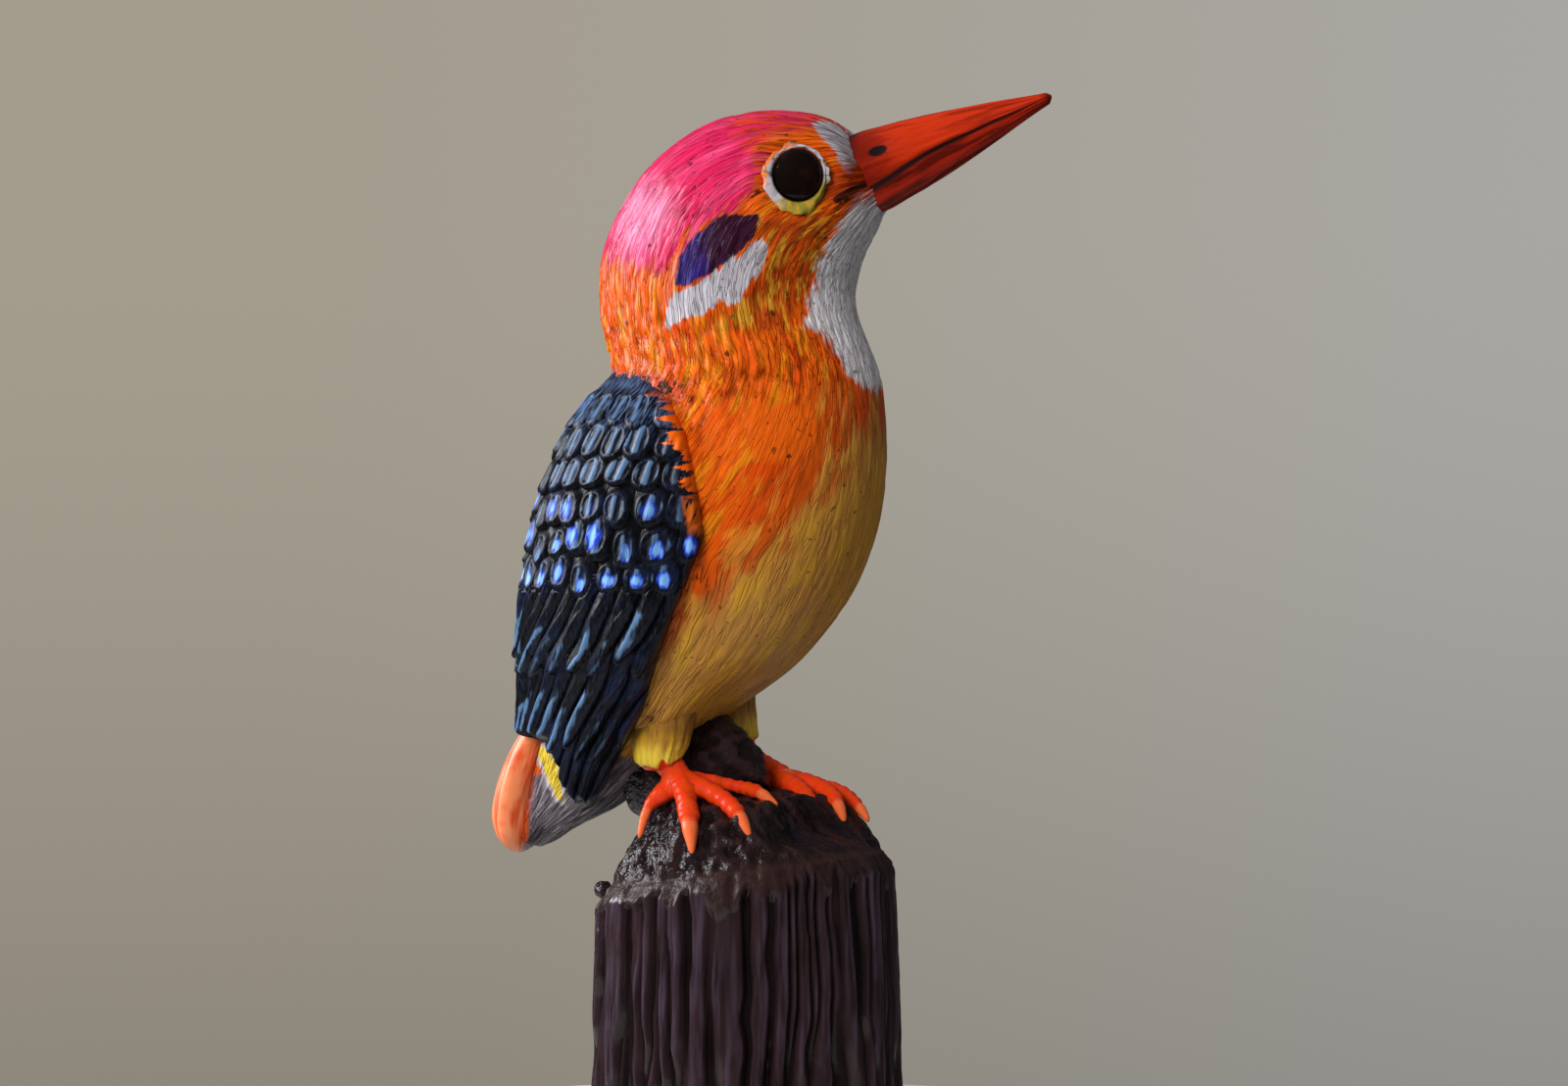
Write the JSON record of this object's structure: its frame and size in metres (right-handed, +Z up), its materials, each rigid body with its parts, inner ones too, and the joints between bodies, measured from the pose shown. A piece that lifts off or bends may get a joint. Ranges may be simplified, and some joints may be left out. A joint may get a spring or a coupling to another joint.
{
  "type": "kingfisher sculpture",
  "caption": "Painted figure of a small kingfisher perched upright on a ridged tree stump, wings folded, tail down and long bill raised. It stands on the stump's flat underside.",
  "frame": {"origin": "centre of the stump's flat underside", "axes": "+Z up along the stump's axis, +X the way the bird's bill points, +Y to the bird's left"},
  "size_m": [0.0796, 0.045, 0.1532],
  "materials": {
    "bird_paint": "cast resin, brush painted in orange, yellow, pink, white, violet and blue-black, satin to glossy varnish",
    "eye_bead": "opaque near-black glass bead, polished",
    "stump_paint": "cast resin, dark brown-violet paint, glossy on the ridges"
  },
  "bodies": {
    "root": {"kingfisher": "bird_paint", "eye_right": "eye_bead", "eye_left": "eye_bead", "stump": "stump_paint"}
  },
  "joints": []
}
